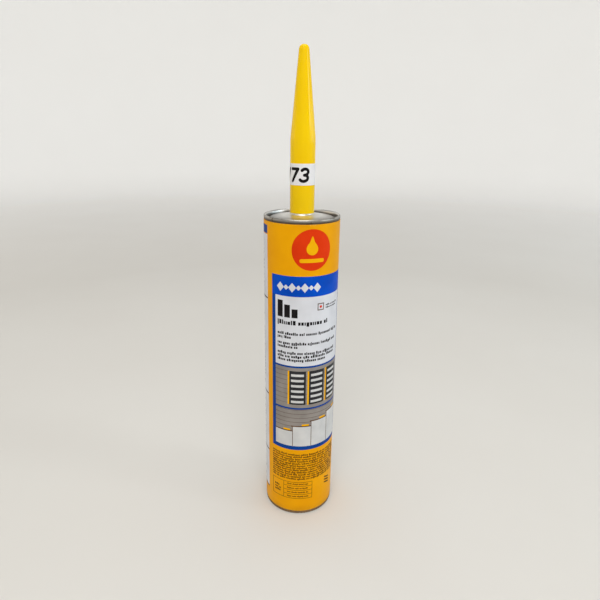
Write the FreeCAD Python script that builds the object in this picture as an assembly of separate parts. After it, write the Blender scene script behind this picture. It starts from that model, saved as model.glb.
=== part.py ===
"""Caulk tube: a 300 ml cartridge of sealant with a fixed pointed nozzle.

A wound fibre barrel carries a glued paper label. A stamped tinplate end is crimped over the barrel's
top edge: from the seam it drops into a countersink, rises as a shallow cone and turns up as a collar
round the nozzle. The nozzle is one hollow moulding with a closed tip, whose flange bears on the
cone from below, and a foil disc closes its base. The paste fills the barrel down to a moulded piston,
which a gun's push rod reaches through the open bottom. A paper tape tag is wrapped round the nozzle.

Millimetres, +Z up along the tube's axis, origin at the middle of the ring that the tube stands on.
"""

import FreeCAD, Part
import math
import os

from FreeCAD import Vector

# Barrel
TUBE_LENGTH = 216.0
TUBE_OUTER_DIAMETER = 48.9
TUBE_WALL = 1.1
FOOT_EDGE_RADIUS = 0.4

# Label
LABEL_THICKNESS = 0.13
LABEL_FOOT_MARGIN = 2.4
LABEL_SEAM_GAP = 0.35
LABEL_LAP = 5.0
LABEL_RAMP = 1.2
GLUE_GAP = 0.02
BACK_ANGLE = 90.0

# Tinplate end
SHEET = 0.25
SEAM_HEIGHT = 2.4
SEAM_CLEARANCE = 0.05
HEM_HEIGHT = 0.5
HEM_INSET = 0.25
COUNTERSINK_DEPTH = 3.5
COUNTERSINK_WIDTH = 1.9
COUNTERSINK_BEND = 0.6
CONE_FOOT_HEIGHT = 1.55
CONE_FOOT_SETBACK = 1.0
CONE_FOOT_BEND = 1.5
CONE_RISE = 2.3
COLLAR_RISE = 0.7
COLLAR_BEND = 0.5

# Nozzle
STEM_DIAMETER = 15.6
STEM_LENGTH = 44.5
NOZZLE_REACH = 97.7
SHOULDER_RADIUS = 45.0
TIP_DIAMETER = 5.7
TIP_DOME_RADIUS = 2.9
NOZZLE_WALL = 1.3
TIP_WALL = 3.0
BORE_TIP_RADIUS = 1.2
STEM_FIT = 0.05
FLANGE_DIAMETER = 26.0
FLANGE_THICKNESS = 1.4
FLANGE_SEAT_GAP = 0.05
FLANGE_EDGE_RADIUS = 0.3

# Foil disc under the nozzle
FOIL_DIAMETER = 24.0
FOIL_THICKNESS = 0.12

# Tape tag on the nozzle
TAPE_WIDTH = 12.9
TAPE_ABOVE_COLLAR = 17.4
TAPE_THICKNESS = 0.12
TAPE_LAP = 6.0
TAPE_RAMP = 0.8

# Piston
PISTON_RECESS = 14.5
PISTON_LENGTH = 22.0
PISTON_FIT = 0.06
PISTON_WALL = 1.4
WIPER_DEPTH = 0.7
WIPER_WIDTH = 2.2
WIPER_EDGE_RADIUS = 0.35
CROWN_THICKNESS = 1.6
CROWN_DOME = 1.5
CROWN_FLAT_DIAMETER = 18.0
CROWN_BEND = 2.0
CUP_FLOOR_RADIUS = 1.0
HUB_DIAMETER = 20.0
HUB_WALL = 1.4
HUB_SETBACK = 3.0
RIB_COUNT = 8
RIB_THICKNESS = 1.2

# Rounded edges take at most this share of their wall
EDGE_SHARE = 0.45

# A corner straighter than this, in radians, and a run shorter than this, in mm, are left out
STRAIGHT_ANGLE = 1e-6
SHORTEST_RUN = 1e-4

# Paste
PASTE_SIDE_GAP = 0.1
PASTE_END_GAP = 0.3

# Radii and heights that follow from the sizes above
BARREL_R = TUBE_OUTER_DIAMETER / 2
BORE_R = BARREL_R - TUBE_WALL
LABEL_R = BARREL_R + GLUE_GAP + LABEL_THICKNESS
SKIRT_MID_R = LABEL_R - SHEET / 2
CHUCK_MID_R = BORE_R - SEAM_CLEARANCE - SHEET / 2
SEAM_BEND = (SKIRT_MID_R - CHUCK_MID_R) / 2
SEAM_FOOT_Z = TUBE_LENGTH - SEAM_HEIGHT
COUNTERSINK_Z = TUBE_LENGTH - COUNTERSINK_DEPTH
CONE_FOOT_R = CHUCK_MID_R - COUNTERSINK_WIDTH - CONE_FOOT_SETBACK
CONE_FOOT_Z = COUNTERSINK_Z + CONE_FOOT_HEIGHT
STEM_R = STEM_DIAMETER / 2
COLLAR_MID_R = STEM_R + STEM_FIT + SHEET / 2
CONE_TOP_Z = CONE_FOOT_Z + CONE_RISE
COLLAR_TOP_Z = CONE_TOP_Z + COLLAR_RISE
CONE_SLOPE = CONE_RISE / (CONE_FOOT_R - COLLAR_MID_R)
NOZZLE_TIP_Z = TUBE_LENGTH + NOZZLE_REACH
PISTON_TOP_Z = PISTON_RECESS + PISTON_LENGTH


def eased(radius, wall):
    """The radius of a rounded edge, kept below half of the wall that it is on."""
    return min(radius, wall * EDGE_SHARE)


def corner_arc(before, corner, after, radius):
    """The two tangent points and the middle of the arc that rounds a corner, and None where it is sharp."""
    to_before = (before - corner).normalize()
    to_after = (after - corner).normalize()
    half_angle = to_before.getAngle(to_after) / 2
    if radius <= 0 or abs(half_angle - math.pi / 2) < STRAIGHT_ANGLE:
        return None
    setback = radius / math.tan(half_angle)
    bisector = (to_before + to_after).normalize()
    middle = corner + bisector * (radius / math.sin(half_angle) - radius)
    return corner + to_before * setback, middle, corner + to_after * setback


def rounded_face(corners):
    """A face in the XZ plane inside a closed run of (r, z, corner radius)."""
    points = [Vector(r, 0, z) for r, z, _ in corners]
    count = len(points)
    arcs = []
    for i, (_, _, radius) in enumerate(corners):
        arcs.append(corner_arc(points[i - 1], points[i], points[(i + 1) % count], radius))
    edges = []
    for i in range(count):
        following = (i + 1) % count
        start = arcs[i][2] if arcs[i] else points[i]
        end = arcs[following][0] if arcs[following] else points[following]
        if arcs[i]:
            edges.append(Part.Arc(*arcs[i]).toShape())
        if (end - start).Length > SHORTEST_RUN:
            edges.append(Part.LineSegment(start, end).toShape())
    return Part.Face(Part.Wire(Part.__sortEdges__(edges)))


def turned(corners):
    """The solid that a closed run of (r, z, corner radius) sweeps round the tube's axis."""
    return rounded_face(corners).revolve(Vector(0, 0, 0), Vector(0, 0, 1), 360)


def sheet_side(path, offset):
    """The path (r, z, bend radius) moved sideways to its left by offset, with its bends kept concentric."""
    points = [Vector(r, 0, z) for r, z, _ in path]
    runs = [(b - a).normalize() for a, b in zip(points, points[1:])]
    normals = [Vector(-run.z, 0, run.x) for run in runs]
    side = [(points[0] + normals[0] * offset, 0.0)]
    for i in range(1, len(points) - 1):
        before, after = normals[i - 1], normals[i]
        mitre = (before + after).normalize()
        reach = offset / mitre.dot(before)
        turns_left = runs[i - 1].x * runs[i].z - runs[i - 1].z * runs[i].x > 0
        bend = path[i][2] + (-offset if turns_left else offset)
        side.append((points[i] + mitre * reach, max(bend, 0.0)))
    side.append((points[-1] + normals[-1] * offset, 0.0))
    return [(point.x, point.z, bend) for point, bend in side]


def pressed_sheet(path, thickness):
    """A round pressing of even thickness whose section follows the path (r, z, bend radius)."""
    left = sheet_side(path, thickness / 2)
    right = sheet_side(path, -thickness / 2)
    return turned(left + right[::-1])


def wrapped_sheet(inner_radius, thickness, low, high, lap, ramp, seam_angle):
    """A sheet wrapped once round the axis, whose end climbs over its own start and laps it."""
    lifted = inner_radius + thickness + GLUE_GAP
    lap_turn = math.degrees(lap / inner_radius)
    ramp_turn = math.degrees(ramp / inner_radius)
    climb_start = 360 - ramp_turn

    def at(radius, turn):
        angle = math.radians(seam_angle + turn)
        return Vector(radius * math.cos(angle), radius * math.sin(angle), low)

    def arc(radius, start, end):
        return Part.Arc(at(radius, start), at(radius, (start + end) / 2), at(radius, end)).toShape()

    def face_run(radius, lapped_radius):
        return [
            arc(radius, 0, climb_start),
            Part.LineSegment(at(radius, climb_start), at(lapped_radius, 360)).toShape(),
            arc(lapped_radius, 360, 360 + lap_turn),
        ]

    inner = face_run(inner_radius, lifted)
    outer = face_run(inner_radius + thickness, lifted + thickness)
    ends = [
        Part.LineSegment(at(inner_radius, 0), at(inner_radius + thickness, 0)).toShape(),
        Part.LineSegment(at(lifted, 360 + lap_turn), at(lifted + thickness, 360 + lap_turn)).toShape(),
    ]
    outline = Part.Wire(Part.__sortEdges__(inner + outer + ends))
    return Part.Face(outline).extrude(Vector(0, 0, high - low))


def barrel():
    """The wound fibre tube, reduced at its top edge so that the crimped skirt lies flush with the label."""
    crimp_r = LABEL_R - SHEET - SEAM_CLEARANCE
    groove_r = crimp_r - HEM_INSET
    rim_z = TUBE_LENGTH - SHEET - SEAM_BEND
    groove_top_z = SEAM_FOOT_Z + HEM_HEIGHT
    groove_foot_z = SEAM_FOOT_Z - SEAM_CLEARANCE
    shoulder_z = groove_foot_z - LABEL_SEAM_GAP
    edge = eased(FOOT_EDGE_RADIUS, TUBE_WALL)
    return turned(
        [
            (BORE_R, 0, edge),
            (BARREL_R, 0, edge),
            (BARREL_R, shoulder_z, 0),
            (groove_r, groove_foot_z, 0),
            (groove_r, groove_foot_z + SEAM_CLEARANCE, 0),
            (crimp_r, groove_top_z, 0),
            (crimp_r, rim_z, 0),
            (BORE_R, rim_z, 0),
        ]
    )


def label():
    """The printed paper label, with its glued lap at the back."""
    low = LABEL_FOOT_MARGIN
    high = SEAM_FOOT_Z - LABEL_SEAM_GAP - SEAM_CLEARANCE
    inner_r = BARREL_R + GLUE_GAP
    return wrapped_sheet(inner_r, LABEL_THICKNESS, low, high, LABEL_LAP, LABEL_RAMP, BACK_ANGLE)


def top_end():
    """The tinplate end: collar, cone, countersink, chuck wall, rolled rim, skirt and hem in one sheet."""
    seam_top_z = TUBE_LENGTH - SHEET / 2
    countersink_inner_r = CHUCK_MID_R - COUNTERSINK_WIDTH
    countersink_mid_z = COUNTERSINK_Z + SHEET / 2
    return pressed_sheet(
        [
            (COLLAR_MID_R, COLLAR_TOP_Z, 0),
            (COLLAR_MID_R, CONE_TOP_Z, COLLAR_BEND),
            (CONE_FOOT_R, CONE_FOOT_Z, CONE_FOOT_BEND),
            (countersink_inner_r, countersink_mid_z, COUNTERSINK_BEND),
            (CHUCK_MID_R, countersink_mid_z, COUNTERSINK_BEND),
            (CHUCK_MID_R, seam_top_z, SEAM_BEND),
            (SKIRT_MID_R, seam_top_z, SEAM_BEND),
            (SKIRT_MID_R, SEAM_FOOT_Z + HEM_HEIGHT, SHEET),
            (SKIRT_MID_R - HEM_INSET, SEAM_FOOT_Z, 0),
        ],
        SHEET,
    )


def cone_underside(radius):
    """The height of the underside of the end's cone at a radius."""
    drop = SHEET / 2 * math.sqrt(1 + CONE_SLOPE**2)
    return CONE_TOP_Z - (radius - COLLAR_MID_R) * CONE_SLOPE - drop


def flange_foot():
    """The height of the flat underside of the nozzle's flange."""
    return cone_underside(FLANGE_DIAMETER / 2) - FLANGE_SEAT_GAP - FLANGE_THICKNESS


def nozzle():
    """The hollow nozzle: flange, straight stem, taper and closed domed tip in one moulding."""
    flange_r = FLANGE_DIAMETER / 2
    foot_z = flange_foot()
    # The collar's bend rounds over the corner between flange and stem, so the corner stands clear of it.
    neck_r = STEM_R + STEM_FIT + SHEET + COLLAR_BEND
    neck_z = cone_underside(neck_r) - FLANGE_SEAT_GAP
    shoulder_z = COLLAR_TOP_Z + STEM_LENGTH
    tip_r = TIP_DIAMETER / 2
    taper = (STEM_R - tip_r) / (NOZZLE_TIP_Z - shoulder_z)
    bore_r = STEM_R - NOZZLE_WALL
    bore_tip_z = NOZZLE_TIP_Z - TIP_WALL
    bore_tip_r = bore_r - taper * (bore_tip_z - shoulder_z)
    return turned(
        [
            (bore_r, foot_z, 0),
            (flange_r, foot_z, FLANGE_EDGE_RADIUS),
            (flange_r, cone_underside(flange_r) - FLANGE_SEAT_GAP, FLANGE_EDGE_RADIUS),
            (neck_r, neck_z, 0),
            (STEM_R, neck_z, 0),
            (STEM_R, shoulder_z, SHOULDER_RADIUS),
            (tip_r, NOZZLE_TIP_Z, TIP_DOME_RADIUS),
            (0, NOZZLE_TIP_Z, 0),
            (0, bore_tip_z, 0),
            (bore_tip_r, bore_tip_z, eased(BORE_TIP_RADIUS, 2 * bore_tip_r)),
            (bore_r, shoulder_z, SHOULDER_RADIUS),
        ]
    )


def seal_foil():
    """The foil disc sealed across the nozzle's base, which is pierced before use."""
    disc = Part.makeCylinder(FOIL_DIAMETER / 2, FOIL_THICKNESS)
    disc.translate(Vector(0, 0, flange_foot() - FOIL_THICKNESS))
    return disc


def tape_tag():
    """The strip of white paper tape wrapped round the nozzle's stem."""
    low = COLLAR_TOP_Z + TAPE_ABOVE_COLLAR
    high = low + TAPE_WIDTH
    inner_r = STEM_R + GLUE_GAP
    return wrapped_sheet(inner_r, TAPE_THICKNESS, low, high, TAPE_LAP, TAPE_RAMP, BACK_ANGLE)


def crown_height(radius):
    """The height of the piston's front face at a radius: flat in the middle, sloping to the wiper."""
    flat_r = CROWN_FLAT_DIAMETER / 2
    wiper_r = BORE_R - PISTON_FIT
    share = max(radius - flat_r, 0) / (wiper_r - flat_r)
    return PISTON_TOP_Z - CROWN_DOME * share


def piston():
    """The moulded piston: a cup open to the rear, with two wipers and ribs from its hub to its skirt."""
    wiper_r = BORE_R - PISTON_FIT
    skirt_r = wiper_r - WIPER_DEPTH
    cup_r = skirt_r - PISTON_WALL
    rear_z = PISTON_RECESS
    flat_r = CROWN_FLAT_DIAMETER / 2
    front_edge_z = crown_height(wiper_r)
    floor_z = front_edge_z - CROWN_THICKNESS
    cup = turned(
        [
            (0, PISTON_TOP_Z, 0),
            (flat_r, PISTON_TOP_Z, CROWN_BEND),
            (wiper_r, front_edge_z, WIPER_EDGE_RADIUS),
            (wiper_r, front_edge_z - WIPER_WIDTH, WIPER_EDGE_RADIUS),
            (skirt_r, front_edge_z - WIPER_WIDTH - WIPER_DEPTH, WIPER_DEPTH),
            (skirt_r, rear_z + WIPER_WIDTH + WIPER_DEPTH, WIPER_DEPTH),
            (wiper_r, rear_z + WIPER_WIDTH, WIPER_EDGE_RADIUS),
            (wiper_r, rear_z, WIPER_EDGE_RADIUS),
            (cup_r, rear_z, WIPER_EDGE_RADIUS),
            (cup_r, floor_z, CUP_FLOOR_RADIUS),
            (0, floor_z, 0),
        ]
    )
    hub_r = HUB_DIAMETER / 2
    hub_foot_z = rear_z + HUB_SETBACK
    seat_depth = CROWN_THICKNESS / 2
    hub_height = floor_z + seat_depth - hub_foot_z
    hub = Part.makeCylinder(hub_r, hub_height).cut(Part.makeCylinder(hub_r - HUB_WALL, hub_height))
    hub.translate(Vector(0, 0, hub_foot_z))
    inner_r = hub_r - HUB_WALL / 2
    outer_r = cup_r + PISTON_WALL / 2
    ribs = []
    for i in range(RIB_COUNT):
        rib = Part.makeBox(outer_r - inner_r, RIB_THICKNESS, hub_height)
        rib.translate(Vector(inner_r, -RIB_THICKNESS / 2, hub_foot_z))
        rib.rotate(Vector(0, 0, 0), Vector(0, 0, 1), 360 * (i + 0.5) / RIB_COUNT)
        ribs.append(rib)
    return cup.fuse([hub] + ribs).removeSplitter()


def sealant():
    """The paste that fills the barrel from the piston to the end, up to the foil disc."""
    side_r = BORE_R - PASTE_SIDE_GAP
    flat_r = CROWN_FLAT_DIAMETER / 2
    foil_z = flange_foot() - FOIL_THICKNESS - PASTE_SIDE_GAP
    shoulder_z = COUNTERSINK_Z - PASTE_END_GAP
    return turned(
        [
            (0, PISTON_TOP_Z + PASTE_END_GAP, 0),
            (flat_r, PISTON_TOP_Z + PASTE_END_GAP, 0),
            (side_r, crown_height(side_r) + PASTE_END_GAP, 0),
            (side_r, shoulder_z, 0),
            (CONE_FOOT_R, shoulder_z, 0),
            (FLANGE_DIAMETER / 2, foil_z, 0),
            (0, foil_z, 0),
        ]
    )


def main():
    os.makedirs("parts", exist_ok=True)
    nodes = {
        "barrel": barrel(),
        "label": label(),
        "top_end": top_end(),
        "nozzle": nozzle(),
        "seal_foil": seal_foil(),
        "tape_tag": tape_tag(),
        "sealant": sealant(),
        "piston": piston(),
    }
    for name, shape in nodes.items():
        shape.exportStep(f"parts/{name}.step")
        print(name, "valid" if shape.isValid() else "NOT VALID", len(shape.Solids), round(shape.Volume, 1))


main()
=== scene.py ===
"""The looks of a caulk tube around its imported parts: inks on the label, finishes, light and camera."""

import math
import random

import bpy
from mathutils import Matrix, Vector


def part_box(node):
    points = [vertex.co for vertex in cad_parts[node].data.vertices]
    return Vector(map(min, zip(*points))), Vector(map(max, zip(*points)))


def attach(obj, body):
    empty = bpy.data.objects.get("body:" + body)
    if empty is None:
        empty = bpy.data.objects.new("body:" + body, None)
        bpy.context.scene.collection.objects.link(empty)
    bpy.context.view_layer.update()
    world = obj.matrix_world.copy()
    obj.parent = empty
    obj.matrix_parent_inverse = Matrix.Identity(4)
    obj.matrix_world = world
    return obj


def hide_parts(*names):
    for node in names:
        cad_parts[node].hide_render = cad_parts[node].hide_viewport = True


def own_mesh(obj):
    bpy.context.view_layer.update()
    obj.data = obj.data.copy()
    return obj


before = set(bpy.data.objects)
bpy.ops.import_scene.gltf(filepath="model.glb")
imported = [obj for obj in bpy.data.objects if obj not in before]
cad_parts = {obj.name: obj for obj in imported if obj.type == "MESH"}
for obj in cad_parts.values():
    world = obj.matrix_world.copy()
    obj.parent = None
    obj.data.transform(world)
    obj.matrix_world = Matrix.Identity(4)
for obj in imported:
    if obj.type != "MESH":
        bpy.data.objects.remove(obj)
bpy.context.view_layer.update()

MM = 0.001

# Camera, from a fit to the photograph's edges: the frame and focal length are in its pixels
FRAME_PIXELS = 600
FOCAL_PIXELS = 490.8
CAMERA_PITCH = 18.85
CAMERA_ROLL = 0.73
CAMERA_PLACE = (-0.59, -315.65, 265.29)
SENSOR_WIDTH = 36.0
CLIP_START = 0.01

# Ink: each layer stands higher by a step, and its back lies inside the paper
INK_STEP = 0.012
INK_ROOT = 0.02
COLUMN_WIDTH = 0.7
RIBBON_COLUMN = 0.4
CURVE_STEPS = 20
CAP_STEPS = 4
CREASE_ANGLE = 30

# Front panel of the label: places along the arc are from the middle of the front, to the right
PANEL_LEFT = -20.9
PANEL_RIGHT = 37.2
FRAME_STRIP = 3.1
HEADER_TOP = 181.0
HEADER_FOOT = 167.7
TEXT_FOOT = 119.7
DIVIDER = 1.3
PICTURE_SPLIT = 88.5
BORDER_TOP = 58.0
BORDER_FOOT = 54.9
FIELD_LEFT = PANEL_LEFT + FRAME_STRIP
FIELD_RIGHT = PANEL_RIGHT - FRAME_STRIP

# Print made of blocks: letters in a word, and widths, gaps and heights as shares of the print's size
WORD_SHORTEST = 3
WORD_LONGEST = 9
LETTER_WIDTHS = (0.55, 1.0, 1.0, 1.15)
LETTER_GAP = 0.22
WORD_GAP = 0.55
TAIL_CHANCE = 0.1
TAIL_REACH = 0.35
TALL_CHANCE = 0.28
TALL_RISE = 1.4
PLAIN_WEIGHT = 0.62
BOLD_WEIGHT = 0.7
TITLE_WEIGHT = 0.72
CELL_WEIGHT = 0.8

# Emblem over the panel: a disc with a drop over a bead
EMBLEM_ALONG = 6.7
EMBLEM_HEIGHT = 197.6
EMBLEM_RADIUS = 12.9
DROP_RADIUS = 3.7
DROP_RISE = 0.6
DROP_TALL = 8.2
BEAD_DROP = 6.6
BEAD_REACH = 6.8
BEAD_WIDTH = 2.4

# Header's row of lozenges, large and small in turn
HEADING_LEFT = -16.4
HEADING_RIGHT = 13.1
HEADING_MIDDLE = 173.7
HEADING_COUNT = 7
LARGE_REACH = 2.6
LARGE_RISE = 3.1
SMALL_REACH = 1.6
SMALL_RISE = 1.9

# Heavy blocks, title and paragraphs
COLUMN_LEFT = -15.9
BLOCK_FOOT = 153.5
BLOCK_WIDTH = 3.9
BLOCK_GAP = 1.1
BLOCK_TALLS = (11.3, 8.6, 5.9)
TITLE_RIGHT = 20.8
TITLE_BASE = 148.6
TITLE_SIZE = 2.15
PARAGRAPH_BASES = (141.5, 134.8, 128.0)
PARAGRAPH_ENDS = ((31.0, -5.6), (29.0, -1.4), (27.6, 29.6, 19.0))
PARAGRAPH_PITCH = 2.5
PARAGRAPH_SIZE = 1.4

# Small square beside the heavy blocks, with a dot in it and two small lines
SQUARE_LEFT = 11.0
SQUARE_FOOT = 158.1
SQUARE_SIDE = 4.8
SQUARE_RULE = 0.65
SQUARE_DOT = 0.9
CREDIT_LEFT = 17.4
CREDIT_RIGHT = 29.5
CREDIT_BASES = (160.5, 158.8)
CREDIT_SIZE = 0.8

# Small print under the panel
SMALL_TOP = 51.9
SMALL_FOOT = 29.0
SMALL_PITCH = 1.85
SMALL_RIGHT = 33.0
SMALL_SIZE = 1.05

# Ruled table at the foot, and the slanted mark beside it
TABLE_TOP = 27.5
TABLE_FOOT = 13.2
TABLE_RIGHT = 10.2
TABLE_SPLIT = -11.2
TABLE_ROWS = 4
TABLE_SIZE = 0.8
RULE_WIDTH = 0.28
CELL_LEFT = -18.8
CELL_RIGHT = -13.4
CELL_TOP = 21.6
CELL_PITCH = 2.2
CELL_SIZE = 1.1
CELL_LINES = 3
MARK_LEFT = 21.8
MARK_REACH = 4.8
MARK_TOP = 25.8
MARK_PITCH = 2.3
MARK_FALL = 1.9
MARK_RULE = 1.1
MARK_STROKES = 3

# Panels on both sides of the lap at the back
STRIP_WIDTH = 5.5
BACK_TOP = 210.6
BACK_HEADER_FOOT = 205.3
BACK_FIELD_TOP = 204.7
BACK_FOOT = 13.9
BACK_RULES = (162.3, 92.0, 46.0)
BACK_RULE_WIDTH = 0.9
LAP_MARGIN = 2.5
BACK_MARGIN = 7.5
BACK_HEADING_BASE = 207.0
BACK_HEADING_SIZE = 1.8
BACK_HEADING_REACH = 15.0
BACK_TITLE_DROP = 5.0
BACK_TITLE_SIZE = 1.6
BACK_TEXT_SIZE = 0.95
BACK_PITCH = 2.5
BACK_TITLE_LINES = 1.5
BACK_LINE_CUTS = (0.0, 0.0, 1.5, 12.0)

# Handwritten number on the tape
DIGIT_FOOT_MARGIN = 2.5
DIGIT_HEIGHT = 7.3
DIGIT_WIDTH = 4.3
DIGIT_STROKE = 1.8
DIGIT_SLANT = 0.16
ONE_ALONG = -12.6
ONE_LEAN = 1.7
SEVEN_ALONG = -8.3
SEVEN_FOOT_SHARE = 0.35
THREE_ALONG = 0.5
THREE_REACH = 2.2
THREE_FOOT_SHARE = 1.15
THREE_OPENING = 150

# Board: its wall, the foil lining's depth and the plies on its cut edge
BOARD_WALL = 1.1
LINING = 0.05
PLY = 0.22

# Piston: the turned marks on its moulding
TURNED_PITCH = 0.5

# Tinplate end: its rim darkened as painted shade, the recess's wall with its slight draft, and the reach of
# the painted shade above the hem
RIM_WIDTH = 1.45
WALL_DEPTH = 3.2
WALL_DRAFT = 0.14
HEM_SHADE = 3.1

# Paste
PASTE_SIDES = 96
PASTE_EDGE = 1.2
PASTE_SKIN = 0.05
PASTE_FOOT_GAP = 0.2
PASTE_TOP_GAP = 1.4

# Surroundings, in metres: a round floor that turns up into a low wall, and the lamps
FLOOR_RADIUS = 1.9
FLOOR_BEND = 0.6
WALL_TOP = 1.7
GLOW_START = 0.7
WALL_GLOW = 0.38
WALL_TINT = (0.98, 0.99, 1.0, 1.0)
FLOOR_SIDES = 128
BEND_STEPS = 16
FLOOR_DROP = 0.0002
LAMP_AIM = (0.0, 0.0, 0.2)
SKY_TINT = (0.9, 0.89, 0.87, 1.0)
SKY_STRENGTH = 0.3

# Where a noise mostly lies, and where an ink's density starts and ends
NOISE_LOW = 0.3
NOISE_HIGH = 0.7
DENSITY_LOW = 0.35

SEED = 42


def paint(red, green, blue):
    """A colour as written on a screen, 0 to 255, as the linear colour that the shaders take."""
    def linear(value):
        share = value / 255
        return share / 12.92 if share <= 0.04045 else ((share + 0.055) / 1.055) ** 2.4
    return (linear(red), linear(green), linear(blue), 1.0)


ORANGE = paint(239, 167, 0)
ORANGE_DEEP = paint(232, 158, 0)
PAPER = paint(220, 222, 229)
PAPER_DEEP = paint(210, 212, 219)
BLUE = paint(0, 79, 200)
BLUE_DEEP = paint(0, 69, 180)
BORDER = paint(10, 67, 150)
BORDER_DEEP = paint(8, 59, 136)
RED = paint(224, 58, 10)
RED_DEEP = paint(212, 50, 6)
BLACK = paint(20, 18, 20)
BLACK_WORN = paint(36, 33, 34)
BROWN = paint(92, 58, 8)
BROWN_DEEP = paint(74, 48, 8)
STONE = paint(150, 144, 139)
STONE_DEEP = paint(132, 126, 121)
JOINT = paint(120, 106, 98)
JOINT_DEEP = paint(106, 92, 86)
SLATE = paint(52, 52, 55)
SLATE_DEEP = paint(38, 39, 42)
PALE = paint(212, 212, 212)
PALE_DEEP = paint(196, 197, 198)
BEAD = paint(246, 184, 6)
BEAD_DEEP = paint(238, 172, 2)
UMBER = paint(104, 72, 44)
UMBER_DEEP = paint(84, 56, 34)

# Colours of the finishes, most of them a pair of shades that a noise blends
SCUFFED_EDGE = paint(226, 206, 164)
# The orange a little darker towards the label's foot
FOOT_DARKENED = paint(150, 96, 30)
BOARD_DARK = paint(94, 72, 46)
BOARD_LIGHT = paint(134, 106, 72)
LINER = paint(200, 200, 202)
TIN_BRIGHT = paint(220, 218, 213)
TIN_BRIGHTER = paint(234, 233, 229)
# Painted shade: a darker plate on the tinplate's rim, standing in for dark reflections
TIN_RIM_SHADE = paint(150, 147, 140)
TIN_RIM_LIGHTER_SHADE = paint(184, 181, 173)
TIN_SPECK = paint(84, 64, 44)
# Painted shade low on the tinplate's skirt, at its hem
TIN_HEM_SHADE = paint(70, 61, 50)
YELLOW = paint(246, 198, 0)
YELLOW_LIGHT = paint(248, 208, 0)
MILKY = paint(212, 212, 205)
MILKY_LIGHT = paint(226, 226, 220)
TAPE = paint(226, 225, 227)
TAPE_LIGHT = paint(238, 238, 241)
FOIL = paint(190, 190, 192)
FOIL_LIGHT = paint(214, 214, 216)
PASTE = paint(172, 170, 164)
PASTE_LIGHT = paint(190, 188, 182)
MARKER = paint(12, 11, 13)
MARKER_THIN = paint(28, 25, 28)
FLOOR = paint(217, 214, 208)
FLOOR_LIGHT = paint(222, 220, 215)


class Shader:
    """A material with its Principled shader, and short calls for the nodes that feed it."""

    def __init__(self, name, **values):
        self.material = bpy.data.materials.new(name)
        self.material.use_nodes = True
        self.tree = self.material.node_tree
        self.surface = self.tree.nodes["Principled BSDF"]
        coordinates = self.node("ShaderNodeTexCoord")
        self.place = coordinates.outputs["Object"]
        for key, value in values.items():
            self.surface.inputs[key.replace("_", " ")].default_value = value

    def node(self, kind, **settings):
        made = self.tree.nodes.new(kind)
        for key, value in settings.items():
            setattr(made, key, value)
        return made

    def feed(self, target, source):
        """Links an output to an input, or sets the input to a plain value."""
        if isinstance(source, bpy.types.NodeSocket):
            self.tree.links.new(source, target)
        else:
            target.default_value = source

    def drive(self, name, source):
        self.feed(self.surface.inputs[name], source)

    def noise(self, scale, detail=2.0, stretch=(1, 1, 1), rough=0.5):
        mapping = self.node("ShaderNodeMapping")
        mapping.inputs["Scale"].default_value = stretch
        self.feed(mapping.inputs["Vector"], self.place)
        made = self.node("ShaderNodeTexNoise")
        made.inputs["Scale"].default_value = scale
        made.inputs["Detail"].default_value = detail
        made.inputs["Roughness"].default_value = rough
        self.feed(made.inputs["Vector"], mapping.outputs["Vector"])
        return made.outputs["Fac"]

    def math(self, operation, first, second=0.0):
        made = self.node("ShaderNodeMath", operation=operation)
        self.feed(made.inputs[0], first)
        self.feed(made.inputs[1], second)
        return made.outputs[0]

    def spread(self, source, low, high, to_low=0.0, to_high=1.0):
        """The source carried from one range to another and held within it."""
        made = self.node("ShaderNodeMapRange", clamp=True)
        self.feed(made.inputs["Value"], source)
        for key, value in (("From Min", low), ("From Max", high), ("To Min", to_low), ("To Max", to_high)):
            made.inputs[key].default_value = value
        return made.outputs["Result"]

    def vary(self, noise, to_low, to_high):
        """A noise, which seldom leaves the middle of its range, carried to another range."""
        return self.spread(noise, NOISE_LOW, NOISE_HIGH, to_low, to_high)

    def blend(self, share, first, second):
        made = self.node("ShaderNodeMix", data_type="RGBA")
        self.feed(made.inputs["Factor"], share)
        self.feed(made.inputs["A"], first)
        self.feed(made.inputs["B"], second)
        return made.outputs["Result"]

    def axis(self, name):
        made = self.node("ShaderNodeSeparateXYZ")
        self.feed(made.inputs[0], self.place)
        return made.outputs[name]

    def radius(self):
        """The distance from the tube's axis, in metres."""
        flat = self.node("ShaderNodeVectorMath", operation="MULTIPLY")
        self.feed(flat.inputs[0], self.place)
        flat.inputs[1].default_value = (1, 1, 0)
        length = self.node("ShaderNodeVectorMath", operation="LENGTH")
        self.feed(length.inputs[0], flat.outputs["Vector"])
        return length.outputs["Value"]

    def bump(self, height, depth, strength=1.0, under=None):
        """Relief of so many metres, which may lie on another relief. Returns its normal."""
        made = self.node("ShaderNodeBump")
        made.inputs["Strength"].default_value = strength
        made.inputs["Distance"].default_value = depth
        self.feed(made.inputs["Height"], height)
        if under:
            self.feed(made.inputs["Normal"], under)
        self.drive("Normal", made.outputs["Normal"])
        return made.outputs["Normal"]


def varnish(shader):
    """The satin of a varnished paper, with its faint unevenness."""
    shader.drive("Roughness", shader.vary(shader.noise(260, 3.0), 0.36, 0.48))
    shader.bump(shader.noise(420, 3.0), 0.00004, 0.35)


def printed_ink(name, colour, deep):
    """Ink on coated paper, a little uneven in its density."""
    shader = Shader(name, Specular_IOR_Level=0.07)
    density = shader.spread(shader.noise(90, 4.0), DENSITY_LOW, NOISE_HIGH)
    shader.drive("Base Color", shader.blend(density, colour, deep))
    varnish(shader)
    return shader.material


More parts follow.
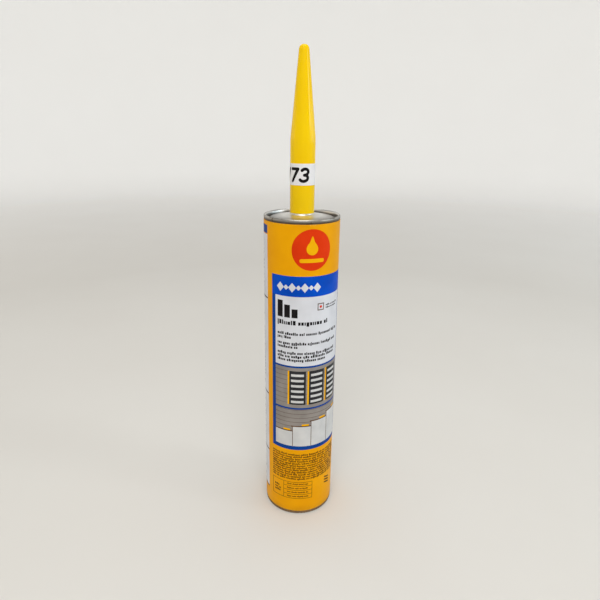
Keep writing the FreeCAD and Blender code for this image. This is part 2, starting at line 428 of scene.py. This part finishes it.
def label_paper():
    """The orange wrap, with its cut edges scuffed pale and a little darker towards its foot."""
    shader = Shader("orange_wrap", Specular_IOR_Level=0.07)
    density = shader.spread(shader.noise(60, 4.0), DENSITY_LOW, NOISE_HIGH)
    ground = shader.blend(density, ORANGE, ORANGE_DEEP)
    height = shader.axis("Z")
    low, high = (corner[2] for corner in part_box("label"))
    foot_wear = shader.spread(height, low, low + 1.2 * MM, 1.0, 0.0)
    top_wear = shader.spread(height, high - 1.0 * MM, high, 0.0, 1.0)
    scuffs = shader.spread(shader.noise(700, 5.0, rough=0.7), 0.54, 0.68)
    wear = shader.math("MULTIPLY", shader.math("MAXIMUM", foot_wear, top_wear), scuffs)
    worn = shader.blend(shader.math("MULTIPLY", wear, 0.55), ground, SCUFFED_EDGE)
    # Darker towards the label's foot, fading out 5 mm above it
    darkening = shader.math("MULTIPLY", shader.spread(height, low, low + 5.0 * MM, 1.0, 0.0),
                        shader.spread(shader.noise(150, 4.0), 0.4, 0.7, 0.1, 0.35))
    shader.drive("Base Color", shader.blend(darkening, worn, FOOT_DARKENED))
    varnish(shader)
    return shader.material


def board():
    """Wound brown board: layered on the cut edge, fibrous on the outside and foil-lined in the bore."""
    shader = Shader("wound_board")
    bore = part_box("barrel")[1][0] - BOARD_WALL * MM
    radius = shader.radius()
    fibres = shader.noise(900, 5.0, (1, 1, 0.35))
    plies = shader.math("SINE", shader.math("MULTIPLY", radius, 2 * math.pi / (PLY * MM)))
    tone = shader.math("ADD", shader.vary(fibres, 0.0, 1.0), shader.math("MULTIPLY", plies, 0.18))
    brown = shader.blend(tone, BOARD_DARK, BOARD_LIGHT)
    lining = shader.spread(radius, bore + LINING / 2 * MM, bore + LINING * MM, 1.0, 0.0)
    shader.drive("Base Color", shader.blend(lining, brown, LINER))
    shader.drive("Metallic", lining)
    shader.drive("Roughness", shader.spread(lining, 0.0, 1.0, 0.85, 0.32))
    shader.bump(fibres, 0.0001, 0.5)
    return shader.material


def tinplate():
    """Tinplate: bright inside, darkened on its rim as painted shade, with a few brown specks and painted
    shade at its hem.
    """
    shader = Shader("tinplate", Metallic=1.0)
    cloud = shader.noise(160, 4.0)
    uneven = shader.vary(cloud, 0.0, 1.0)
    bright = shader.blend(uneven, TIN_BRIGHT, TIN_BRIGHTER)
    # The rim's darker plate is painted shade, a dark reflection put into the colour
    shaded_rim = shader.blend(uneven, TIN_RIM_SHADE, TIN_RIM_LIGHTER_SHADE)
    radius = shader.radius()
    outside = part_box("top_end")[1][0]
    rim = shader.spread(radius, outside - RIM_WIDTH * MM, outside - RIM_WIDTH / 2 * MM)
    height = shader.axis("Z")
    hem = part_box("top_end")[0][2]
    plate = shader.blend(rim, bright, shaded_rim)
    specks = shader.math("MULTIPLY", rim, shader.spread(shader.noise(340, 4.0, rough=0.6), 0.56, 0.64))
    spotted = shader.blend(shader.math("MULTIPLY", specks, 0.7), plate, TIN_SPECK)
    # Painted shade low on the skirt, fading out above the hem: a dark reflection and shade line put into
    # the colour
    low_down = shader.spread(height, hem + HEM_SHADE / 2 * MM, hem + HEM_SHADE * MM, 1.0, 0.0)
    darkening = shader.math("MULTIPLY", low_down, shader.vary(cloud, 0.75, 0.95))
    shader.drive("Base Color", shader.blend(darkening, spotted, TIN_HEM_SHADE))
    streaks = shader.noise(700, 3.0, (1, 1, 0.3))
    shader.drive("Roughness", shader.vary(streaks, 0.29, 0.36))
    inside = shader.math("SUBTRACT", 1.0, rim)
    flare = shader.math("MULTIPLY", inside, shader.spread(height, hem, hem + WALL_DEPTH * MM, 1.0, 0.0))
    shader.bump(cloud, 0.00002, 0.3, under=shader.bump(flare, WALL_DEPTH * WALL_DRAFT * MM))
    return shader.material


def yellow_moulding():
    """Smooth yellow polyethylene that lets a little light through."""
    shader = Shader("yellow_moulding", Subsurface_Weight=0.1, Subsurface_Scale=0.003,
                    Specular_IOR_Level=0.14)
    shader.surface.inputs["Subsurface Radius"].default_value = (1.0, 0.75, 0.1)
    cloud = shader.noise(45, 2.0)
    shader.drive("Base Color", shader.blend(cloud, YELLOW, YELLOW_LIGHT))
    shader.drive("Roughness", shader.vary(shader.noise(300, 3.0), 0.12, 0.17))
    shader.bump(shader.noise(500, 2.0, (1, 1, 0.2)), 0.00002, 0.2)
    return shader.material


def white_moulding():
    """Natural white polyethylene, with faint turned marks."""
    shader = Shader("white_moulding", Subsurface_Weight=0.2, Subsurface_Scale=0.003)
    rings = shader.math("SINE", shader.math("MULTIPLY", shader.radius(), 2 * math.pi / (TURNED_PITCH * MM)))
    shader.drive("Base Color", shader.blend(shader.noise(150, 3.0), MILKY, MILKY_LIGHT))
    shader.drive("Roughness", shader.vary(shader.noise(400, 3.0), 0.42, 0.55))
    shader.bump(rings, 0.00001, 0.3)
    return shader.material


def tape_paper():
    """Matt white paper tape, with slight creases across it."""
    shader = Shader("paper_tape", Specular_IOR_Level=0.2)
    fibres = shader.noise(1200, 4.0)
    shader.drive("Base Color", shader.blend(fibres, TAPE, TAPE_LIGHT))
    shader.drive("Roughness", shader.vary(fibres, 0.6, 0.75))
    shader.bump(shader.noise(260, 3.0, (1, 1, 0.4)), 0.00008, 0.5)
    return shader.material


def foil():
    """Plain bright foil, slightly crumpled."""
    shader = Shader("foil", Metallic=1.0)
    creases = shader.noise(500, 4.0)
    shader.drive("Base Color", shader.blend(creases, FOIL, FOIL_LIGHT))
    shader.drive("Roughness", shader.vary(creases, 0.2, 0.35))
    shader.bump(creases, 0.0001, 0.4)
    return shader.material


def paste_finish():
    """Smooth damp grey paste."""
    shader = Shader("paste")
    cloud = shader.noise(200, 3.0)
    shader.drive("Base Color", shader.blend(cloud, PASTE, PASTE_LIGHT))
    shader.drive("Roughness", shader.vary(cloud, 0.3, 0.5))
    shader.bump(cloud, 0.0002, 0.3)
    return shader.material


def marker_ink():
    """Black marker that has soaked into paper, a little thinner in places."""
    shader = Shader("marker_ink", Specular_IOR_Level=0.08)
    cloud = shader.noise(900, 3.0)
    shader.drive("Base Color", shader.blend(cloud, MARKER, MARKER_THIN))
    shader.drive("Roughness", shader.vary(cloud, 0.4, 0.6))
    return shader.material


def dress(node, material):
    """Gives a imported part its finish."""
    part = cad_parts[node]
    if not part.material_slots:
        part.data.materials.append(None)
    for holder in part.material_slots:
        holder.link = "OBJECT"
        holder.material = material


def line_path(start, end):
    """Points from start to end, close enough together to follow the round surface."""
    steps = max(1, math.ceil(math.dist(start, end) / COLUMN_WIDTH))
    return [tuple(a + (b - a) * i / steps for a, b in zip(start, end)) for i in range(steps + 1)]


def curve_path(along, height, reach, rise, start, end):
    """Points on an oval round a middle, from one angle to another, in degrees from the right."""
    path = []
    for i in range(CURVE_STEPS + 1):
        angle = math.radians(start + (end - start) * i / CURVE_STEPS)
        path.append((along + reach * math.cos(angle), height + rise * math.sin(angle)))
    return path


class Ink:
    """Thin plates of one colour that follow a round surface, gathered into one piece."""

    def __init__(self, name, radius, layer, material, slot="printed_paper"):
        self.name = name
        self.radius = radius
        self.front = radius + INK_STEP * layer
        self.back = radius - INK_ROOT
        self.material = material
        self.slot = slot
        self.points = []
        self.faces = []

    def point(self, along, height, radius):
        angle = along / self.radius
        self.points.append((radius * math.sin(angle) * MM, -radius * math.cos(angle) * MM, height * MM))

    def plate(self, stations, columns=1):
        """A closed plate through stations, each a pair of places (along, height) on its two edges."""
        first = len(self.points)
        for start, end in stations:
            for radius in (self.front, self.back):
                for k in range(columns + 1):
                    along, height = (a + (b - a) * k / columns for a, b in zip(start, end))
                    self.point(along, height, radius)

        def corner(station, side, column):
            return first + (2 * station + side) * (columns + 1) + column

        last = len(stations) - 1
        for k in range(columns):
            for i in range(last):
                self.faces.append((corner(i, 0, k), corner(i + 1, 0, k),
                                   corner(i + 1, 0, k + 1), corner(i, 0, k + 1)))
                self.faces.append((corner(i, 1, k), corner(i, 1, k + 1),
                                   corner(i + 1, 1, k + 1), corner(i + 1, 1, k)))
            self.faces.append((corner(0, 0, k), corner(0, 0, k + 1), corner(0, 1, k + 1), corner(0, 1, k)))
            self.faces.append((corner(last, 0, k), corner(last, 1, k),
                               corner(last, 1, k + 1), corner(last, 0, k + 1)))
        for i in range(last):
            self.faces.append((corner(i, 0, 0), corner(i, 1, 0), corner(i + 1, 1, 0), corner(i + 1, 0, 0)))
            self.faces.append((corner(i, 0, columns), corner(i + 1, 0, columns),
                               corner(i + 1, 1, columns), corner(i, 1, columns)))

    def field(self, left, right, low, high):
        """A plate from left to right. low and high are heights, or functions that give them along it."""
        low_at = low if callable(low) else lambda along: low
        high_at = high if callable(high) else lambda along: high
        steps = max(1, math.ceil((right - left) / COLUMN_WIDTH))
        stations = []
        for i in range(steps + 1):
            along = left + (right - left) * i / steps
            stations.append(((along, low_at(along)), (along, high_at(along))))
        self.plate(stations)

    def ribbon(self, path, width):
        """A band of one width along a path of places, with round ends."""
        points = [Vector(place) for place in path]
        last = len(points) - 1
        half = width / 2
        body = []
        for i, place in enumerate(points):
            run = (points[min(i + 1, last)] - points[max(i - 1, 0)]).normalized()
            body.append((place, run, half))
        caps = ([], [])
        for i in range(1, CAP_STEPS):
            angle = math.pi / 2 * i / CAP_STEPS
            for cap, (place, run, _), side in zip(caps, (body[0], body[-1]), (-1, 1)):
                cap.append((place + run * side * half * math.sin(angle), run, half * math.cos(angle)))
        stations = []
        for place, run, reach in caps[0][::-1] + body + caps[1]:
            across = Vector((-run.y, run.x)) * reach
            stations.append((place - across, place + across))
        self.plate(stations, math.ceil(width / RIBBON_COLUMN))

    def disc(self, along, height, radius):
        steps = max(CURVE_STEPS, math.ceil(math.pi * radius / COLUMN_WIDTH))
        stations = []
        for i in range(steps + 1):
            angle = math.pi * i / steps
            at = along - radius * math.cos(angle)
            rise = radius * math.sin(angle) + INK_STEP
            stations.append(((at, height - rise), (at, height + rise)))
        self.plate(stations)

    def drop(self, along, height, radius, tall):
        """A round drop whose sides run straight and tangent to its tip, so far above its middle."""
        turn = math.pi / 2 + math.asin(radius / tall)
        stations = []
        for i in range(CURVE_STEPS + 1):
            at = -radius * math.cos(turn * i / CURVE_STEPS)
            reach = math.sqrt(max(radius ** 2 - at ** 2, 0.0)) + INK_STEP
            stations.append(((along + reach, height + at), (along - reach, height + at)))
        stations.append(((along + INK_STEP, height + tall), (along - INK_STEP, height + tall)))
        self.plate(stations, math.ceil(2 * radius / COLUMN_WIDTH))

    def lozenge(self, along, height, reach, rise):
        def half(at):
            return rise * (1 - min(abs(at - along) / reach, 1.0)) + INK_STEP
        self.field(along - reach, along + reach, lambda at: height - half(at), lambda at: height + half(at))

    def outline(self, left, right, low, high, width):
        """A box drawn in rules of one width."""
        self.field(left, right, low, low + width)
        self.field(left, right, high - width, high)
        self.field(left, left + width, low + width, high - width)
        self.field(right - width, right, low + width, high - width)

    def words(self, chance, left, right, base, size, weight=PLAIN_WEIGHT):
        """A line of blocks that stands for print: uneven word lengths, and no letters."""
        along = left
        while along < right - size:
            for _ in range(chance.randint(WORD_SHORTEST, WORD_LONGEST)):
                width = size * weight * chance.choice(LETTER_WIDTHS)
                if along + width > right:
                    return
                low = base - size * TAIL_REACH if chance.random() < TAIL_CHANCE else base
                rise = size * TALL_RISE if chance.random() < TALL_CHANCE else size
                self.field(along, along + width, low, base + rise)
                along += width + size * LETTER_GAP
            along += size * WORD_GAP

    def finish(self):
        mesh = bpy.data.meshes.new(self.name)
        mesh.from_pydata(self.points, [], self.faces)
        mesh.update()
        mesh.shade_smooth()
        mesh.set_sharp_from_angle(angle=math.radians(CREASE_ANGLE))
        piece = bpy.data.objects.new(self.name, mesh)
        bpy.context.collection.objects.link(piece)
        mesh.materials.append(self.material)
        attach(piece, "cartridge")
        return piece


def front_frame(blue, border):
    """The blue header of the front panel, and its side strips, dividers and foot in a deeper blue."""
    blue.field(PANEL_LEFT, PANEL_RIGHT, HEADER_FOOT, HEADER_TOP)
    border.field(PANEL_LEFT, FIELD_LEFT, BORDER_TOP, HEADER_FOOT)
    border.field(FIELD_RIGHT, PANEL_RIGHT, BORDER_TOP, HEADER_FOOT)
    border.field(PANEL_LEFT, PANEL_RIGHT, BORDER_FOOT, BORDER_TOP)
    for top in (TEXT_FOOT, PICTURE_SPLIT):
        border.field(FIELD_LEFT, FIELD_RIGHT, top - DIVIDER, top)


def emblem(red, bead):
    """A plain red disc that carries a yellow drop over a straight bead."""
    red.disc(EMBLEM_ALONG, EMBLEM_HEIGHT, EMBLEM_RADIUS)
    bead.drop(EMBLEM_ALONG, EMBLEM_HEIGHT + DROP_RISE, DROP_RADIUS, DROP_TALL)
    base = EMBLEM_HEIGHT - BEAD_DROP
    bead.ribbon(line_path((EMBLEM_ALONG - BEAD_REACH, base), (EMBLEM_ALONG + BEAD_REACH, base)), BEAD_WIDTH)


def heading(white):
    """The header's row of lozenges, large and small in turn."""
    first = HEADING_LEFT + LARGE_REACH
    pitch = (HEADING_RIGHT - LARGE_REACH - first) / (HEADING_COUNT - 1)
    for i in range(HEADING_COUNT):
        reach, rise = (SMALL_REACH, SMALL_RISE) if i % 2 else (LARGE_REACH, LARGE_RISE)
        white.lozenge(first + pitch * i, HEADING_MIDDLE, reach, rise)


def panel_print(black, chance):
    """The three heavy blocks in falling steps, the title line and the paragraphs."""
    for i, tall in enumerate(BLOCK_TALLS):
        left = COLUMN_LEFT + (BLOCK_WIDTH + BLOCK_GAP) * i
        black.field(left, left + BLOCK_WIDTH, BLOCK_FOOT, BLOCK_FOOT + tall)
    black.words(chance, COLUMN_LEFT, TITLE_RIGHT, TITLE_BASE, TITLE_SIZE, TITLE_WEIGHT)
    for base, ends in zip(PARAGRAPH_BASES, PARAGRAPH_ENDS):
        for i, end in enumerate(ends):
            line_base = base - PARAGRAPH_PITCH * i
            black.words(chance, COLUMN_LEFT, end, line_base, PARAGRAPH_SIZE, BOLD_WEIGHT)


def square_mark(grey, black, red, chance):
    """The small square with a dot in it, and the two small lines beside it."""
    right, top = SQUARE_LEFT + SQUARE_SIDE, SQUARE_FOOT + SQUARE_SIDE
    grey.outline(SQUARE_LEFT, right, SQUARE_FOOT, top, SQUARE_RULE)
    red.disc((SQUARE_LEFT + right) / 2, (SQUARE_FOOT + top) / 2, SQUARE_DOT)
    for base in CREDIT_BASES:
        black.words(chance, CREDIT_LEFT, CREDIT_RIGHT, base, CREDIT_SIZE)


def vent_picture(inks):
    """A boarded wall with three slatted vents side by side, and a yellow bead beside each."""
    top = TEXT_FOOT - DIVIDER
    vents_left = -7.2
    vent_count = 3
    vent_width = 11.2
    vent_gap = 2.2
    vent_margin = 2.4
    bead_width = 1.1
    casing = 1.3
    slats = 6
    slat_share = 0.44
    board_height = 3.4
    line = 0.3
    inks["stone"].field(FIELD_LEFT, FIELD_RIGHT, PICTURE_SPLIT, top)
    low = PICTURE_SPLIT + board_height
    while low < top:
        inks["joint"].field(FIELD_LEFT, FIELD_RIGHT, low, low + line)
        low += board_height
    vent_foot, vent_top = PICTURE_SPLIT + vent_margin, top - vent_margin
    pitch = (vent_top - vent_foot - casing) / slats
    for i in range(vent_count):
        left = vents_left + (vent_width + vent_gap) * i
        right = left + vent_width
        inks["bead"].field(left - bead_width, left, vent_foot, vent_top)
        inks["slate"].field(left, right, vent_foot, vent_top)
        for k in range(slats):
            low = vent_foot + casing + pitch * k
            inks["pale"].field(left + casing, right - casing, low, low + pitch * slat_share)


def steps_picture(inks):
    """Pale steps that rise to the right before a stone wall, with a yellow bead in each inner corner."""
    top = PICTURE_SPLIT - DIVIDER
    count = 4
    first_rise = 70.6
    rise = 3.8
    nosing = 0.8
    line = 0.4
    bead_reach = 4.0
    bead_width = 1.2
    course = 3.2
    inks["stone"].field(FIELD_LEFT, FIELD_RIGHT, BORDER_TOP, top)
    low = first_rise + course
    while low < top:
        inks["joint"].field(FIELD_LEFT, FIELD_RIGHT, low, low + line)
        low += course
    tread = (FIELD_RIGHT - FIELD_LEFT) / count
    for i in range(count):
        left = FIELD_LEFT + tread * i
        right = left + tread
        high = first_rise + rise * i
        inks["pale"].field(left, right, BORDER_TOP, high)
        inks["umber"].field(max(left - nosing, FIELD_LEFT), right, high - nosing, high)
        if i:
            inks["umber"].field(left, left + line, BORDER_TOP, high - nosing)
        bead_end = right - nosing - bead_width
        bead_height = high + bead_width / 2
        bead_line = line_path((bead_end - bead_reach, bead_height), (bead_end, bead_height))
        inks["bead"].ribbon(bead_line, bead_width)


def small_print(brown, chance):
    """The block of small print under the panel."""
    base = SMALL_TOP - SMALL_PITCH
    while base >= SMALL_FOOT:
        brown.words(chance, PANEL_LEFT, SMALL_RIGHT, base, SMALL_SIZE)
        base -= SMALL_PITCH


def foot_table(brown, chance):
    """The ruled table near the foot, and a small slanted mark to its right."""
    brown.outline(PANEL_LEFT, TABLE_RIGHT, TABLE_FOOT, TABLE_TOP, RULE_WIDTH)
    brown.field(TABLE_SPLIT, TABLE_SPLIT + RULE_WIDTH, TABLE_FOOT, TABLE_TOP)
    row = (TABLE_TOP - TABLE_FOOT) / TABLE_ROWS
    margin = row - TABLE_SIZE
    for i in range(TABLE_ROWS):
        low = TABLE_FOOT + row * i
        if i:
            brown.field(TABLE_SPLIT, TABLE_RIGHT, low, low + RULE_WIDTH)
        brown.words(chance, TABLE_SPLIT + margin, TABLE_RIGHT - margin, low + margin / 2, TABLE_SIZE)
    for i in range(CELL_LINES):
        brown.words(chance, CELL_LEFT, CELL_RIGHT, CELL_TOP - CELL_PITCH * i, CELL_SIZE, CELL_WEIGHT)
    for i in range(MARK_STROKES):
        start = (MARK_LEFT, MARK_TOP - MARK_PITCH * i)
        brown.ribbon(line_path(start, (start[0] + MARK_REACH, start[1] - MARK_FALL)), MARK_RULE)


def back_panel(inks, left, right, text_left, text_right, chance):
    """One white panel at the back, with its header, rules and print."""
    inks["border"].field(left, right, BACK_HEADER_FOOT, BACK_TOP)
    inks["white"].field(left, right, BACK_FOOT, BACK_FIELD_TOP)
    heading_end = text_left + BACK_HEADING_REACH
    inks["heading"].words(chance, text_left, heading_end, BACK_HEADING_BASE, BACK_HEADING_SIZE)
    for rule in BACK_RULES + (BACK_FOOT,):
        inks["black"].field(left, right, rule, rule + BACK_RULE_WIDTH)
    for top, foot in zip((BACK_FIELD_TOP,) + BACK_RULES, BACK_RULES + (BACK_FOOT,)):
        base = top - BACK_TITLE_DROP
        inks["black"].words(chance, text_left, heading_end, base, BACK_TITLE_SIZE, BOLD_WEIGHT)
        base -= BACK_PITCH * BACK_TITLE_LINES
        while base > foot + BACK_PITCH * BACK_TITLE_LINES:
            end = text_right - chance.choice(BACK_LINE_CUTS)
            inks["black"].words(chance, text_left, end, base, BACK_TEXT_SIZE)
            base -= BACK_PITCH


def back_panels(inks, lap, chance):
    """The white panels on both sides of the lap, which is so far along the arc from the front."""
    front_left = PANEL_LEFT - STRIP_WIDTH
    front_right = PANEL_RIGHT + STRIP_WIDTH
    seam = lap - LAP_MARGIN
    back_panel(inks, -seam, front_left, LAP_MARGIN - seam, front_left - BACK_MARGIN, chance)
    back_panel(inks, front_right, seam, front_right + LAP_MARGIN, seam - LAP_MARGIN, chance)


def marker_digits(tape_radius, material):
    """A plain handwritten number in broad marker strokes on the tape."""
    digits = Ink("marker_digits", tape_radius, 2, material, "tape_paper")
    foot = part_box("tape_tag")[0][2] / MM + DIGIT_FOOT_MARGIN
    top = foot + DIGIT_HEIGHT

    def stroke(path):
        slanted = [(along + DIGIT_SLANT * (height - foot), height) for along, height in path]
        digits.ribbon(slanted, DIGIT_STROKE)

    stroke(line_path((ONE_ALONG, foot), (ONE_ALONG + ONE_LEAN, top)))
    seven_end = SEVEN_ALONG + DIGIT_WIDTH
    stroke(line_path((SEVEN_ALONG, top), (seven_end, top)))
    stroke(line_path((seven_end, top), (SEVEN_ALONG + DIGIT_WIDTH * SEVEN_FOOT_SHARE, foot)))
    bowl = DIGIT_HEIGHT / 4
    foot_reach = THREE_REACH * THREE_FOOT_SHARE
    stroke(curve_path(THREE_ALONG, top - bowl, THREE_REACH, bowl, THREE_OPENING, -90))
    stroke(curve_path(THREE_ALONG, foot + bowl, foot_reach, bowl, 90, -THREE_OPENING))
    digits.finish()


def paste():
    """The paste, as a turned body."""
    low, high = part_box("sealant")
    foot, top = low[2] + PASTE_FOOT_GAP * MM, high[2] - PASTE_TOP_GAP * MM
    radius = high[0] - PASTE_SKIN * MM
    edge = PASTE_EDGE * MM
    rings = ((foot, radius - edge), (foot + edge, radius), (top - edge, radius), (top, radius - edge))
    points = []
    for height, ring in rings:
        for i in range(PASTE_SIDES):
            angle = 2 * math.pi * i / PASTE_SIDES
            points.append((ring * math.cos(angle), ring * math.sin(angle), height))
    faces = []
    for level in range(len(rings) - 1):
        for i in range(PASTE_SIDES):
            j = (i + 1) % PASTE_SIDES
            base = level * PASTE_SIDES
            faces.append((base + i, base + j, base + PASTE_SIDES + j, base + PASTE_SIDES + i))
    faces.append(tuple(reversed(range(PASTE_SIDES))))
    faces.append(tuple(range(len(points) - PASTE_SIDES, len(points))))
    mesh = bpy.data.meshes.new("paste")
    mesh.from_pydata(points, [], faces)
    mesh.shade_smooth()
    mesh.set_sharp_from_angle(angle=math.radians(CREASE_ANGLE))
    piece = bpy.data.objects.new("paste", mesh)
    bpy.context.collection.objects.link(piece)
    mesh.materials.append(paste_finish())
    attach(piece, "cartridge")
    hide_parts("sealant")
    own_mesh(piece)


def label_print():
    """Everything printed on the label."""
    chance = random.Random(SEED)
    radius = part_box("label")[1][0] / MM
    layers = {
        "white": (1, PAPER, PAPER_DEEP),
        "brown": (2, BROWN, BROWN_DEEP),
        "blue": (2, BLUE, BLUE_DEEP),
        "border": (2, BORDER, BORDER_DEEP),
        "red": (2, RED, RED_DEEP),
        "stone": (2, STONE, STONE_DEEP),
        "joint": (3, JOINT, JOINT_DEEP),
        "slate": (4, SLATE, SLATE_DEEP),
        "heading": (3, PAPER, PAPER_DEEP),
        "black": (3, BLACK, BLACK_WORN),
        "pale": (5, PALE, PALE_DEEP),
        "bead": (5, BEAD, BEAD_DEEP),
        "umber": (6, UMBER, UMBER_DEEP),
    }
    inks = {}
    for name, (layer, colour, deep) in layers.items():
        inks[name] = Ink("print_" + name, radius, layer, printed_ink(name + "_ink", colour, deep))
    inks["white"].field(FIELD_LEFT, FIELD_RIGHT, TEXT_FOOT, HEADER_FOOT)
    front_frame(inks["blue"], inks["border"])
    emblem(inks["red"], inks["bead"])
    heading(inks["heading"])
    panel_print(inks["black"], chance)
    square_mark(inks["joint"], inks["black"], inks["red"], chance)
    vent_picture(inks)
    steps_picture(inks)
    small_print(inks["brown"], chance)
    foot_table(inks["brown"], chance)
    back_panels(inks, math.pi * radius, chance)
    for ink in inks.values():
        ink.finish()


def softbox(name, place, size, power, tint):
    """A rectangular lamp that faces the upper part of the tube."""
    data = bpy.data.lights.new(name, "AREA")
    data.shape = "RECTANGLE"
    data.size, data.size_y = size
    data.energy = power
    data.color = tint
    lamp = bpy.data.objects.new(name, data)
    lamp.location = place
    aim = Vector(LAMP_AIM) - Vector(place)
    lamp.rotation_euler = aim.to_track_quat("-Z", "Y").to_euler()
    bpy.context.collection.objects.link(lamp)


def floor():
    """A plain pale floor that turns up into a low round wall."""
    profile = [(FLOOR_RADIUS * i / BEND_STEPS, 0.0) for i in range(1, BEND_STEPS)]
    for i in range(BEND_STEPS + 1):
        angle = math.pi / 2 * i / BEND_STEPS
        profile.append((FLOOR_RADIUS + FLOOR_BEND * math.sin(angle), FLOOR_BEND * (1 - math.cos(angle))))
    profile.append((FLOOR_RADIUS + FLOOR_BEND, WALL_TOP))
    points = [(0.0, 0.0, -FLOOR_DROP)]
    for radius, height in profile:
        for i in range(FLOOR_SIDES):
            angle = 2 * math.pi * i / FLOOR_SIDES
            points.append((radius * math.cos(angle), radius * math.sin(angle), height - FLOOR_DROP))
    faces = [(0, 1 + i, 1 + (i + 1) % FLOOR_SIDES) for i in range(FLOOR_SIDES)]
    for level in range(len(profile) - 1):
        base = 1 + level * FLOOR_SIDES
        for i in range(FLOOR_SIDES):
            j = (i + 1) % FLOOR_SIDES
            faces.append((base + i, base + FLOOR_SIDES + i, base + FLOOR_SIDES + j, base + j))
    mesh = bpy.data.meshes.new("floor")
    mesh.from_pydata(points, [], faces)
    mesh.shade_smooth()
    piece = bpy.data.objects.new("floor", mesh)
    bpy.context.collection.objects.link(piece)
    shader = Shader("floor", Roughness=0.75, Specular_IOR_Level=0.2)
    shader.drive("Base Color", shader.blend(shader.noise(6, 3.0), FLOOR, FLOOR_LIGHT))
    rays = shader.node("ShaderNodeLightPath").outputs
    seen = shader.math("MAXIMUM", rays["Is Camera Ray"], rays["Is Glossy Ray"])
    seen = shader.math("MAXIMUM", seen, rays["Is Transmission Ray"])
    glow = shader.spread(shader.radius(), GLOW_START, FLOOR_RADIUS + FLOOR_BEND / 2, 0.0, WALL_GLOW)
    shader.drive("Emission Strength", shader.math("MULTIPLY", seen, glow))
    shader.surface.inputs["Emission Color"].default_value = WALL_TINT
    shader.material.cycles.emission_sampling = "NONE"
    mesh.materials.append(shader.material)


def lights():
    """A small lamp and a cool window on the right, a warm one on the left, two broad ones for the rest."""
    softbox("key", place=(1.75, -0.48, 0.72), size=(0.3, 0.3), power=4.4, tint=(0.97, 0.99, 1.0))
    softbox("window", place=(1.75, 0.1, 0.42), size=(1.5, 0.3), power=4.6, tint=(0.6, 0.84, 1.0))
    softbox("room", place=(-1.75, 0.3, 0.42), size=(1.3, 0.3), power=1.7, tint=(1.0, 0.82, 0.55))
    softbox("front", place=(0.0, -1.3, 1.3), size=(1.3, 0.9), power=15.0, tint=(1.0, 0.99, 0.97))
    softbox("top", place=(0.0, 0.1, 1.9), size=(1.6, 1.6), power=17.0, tint=(1.0, 0.99, 0.98))


def sky():
    """The dim even light from all round, and the plain view setting."""
    world = bpy.data.worlds.new("studio")
    world.use_nodes = True
    background = world.node_tree.nodes["Background"]
    background.inputs["Color"].default_value = SKY_TINT
    background.inputs["Strength"].default_value = SKY_STRENGTH
    bpy.context.scene.world = world
    bpy.context.scene.view_settings.view_transform = "Standard"


def camera():
    """The camera where the photograph was taken from."""
    data = bpy.data.cameras.new("camera")
    data.sensor_width = SENSOR_WIDTH
    data.lens = SENSOR_WIDTH * FOCAL_PIXELS / FRAME_PIXELS
    data.clip_start = CLIP_START
    holder = bpy.data.objects.new("camera", data)
    tilt = Matrix.Rotation(math.radians(90 - CAMERA_PITCH), 4, "X")
    roll = Matrix.Rotation(math.radians(CAMERA_ROLL), 4, "Z")
    holder.matrix_world = Matrix.Translation(Vector(CAMERA_PLACE) * MM) @ tilt @ roll
    bpy.context.collection.objects.link(holder)
    bpy.context.scene.camera = holder


def main():
    dress("label", label_paper())
    dress("barrel", board())
    dress("top_end", tinplate())
    dress("nozzle", yellow_moulding())
    dress("seal_foil", foil())
    dress("tape_tag", tape_paper())
    dress("piston", white_moulding())
    paste()
    label_print()
    tape_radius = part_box("tape_tag")[1][0] / MM
    marker_digits(tape_radius, marker_ink())
    floor()
    lights()
    sky()
    camera()


main()
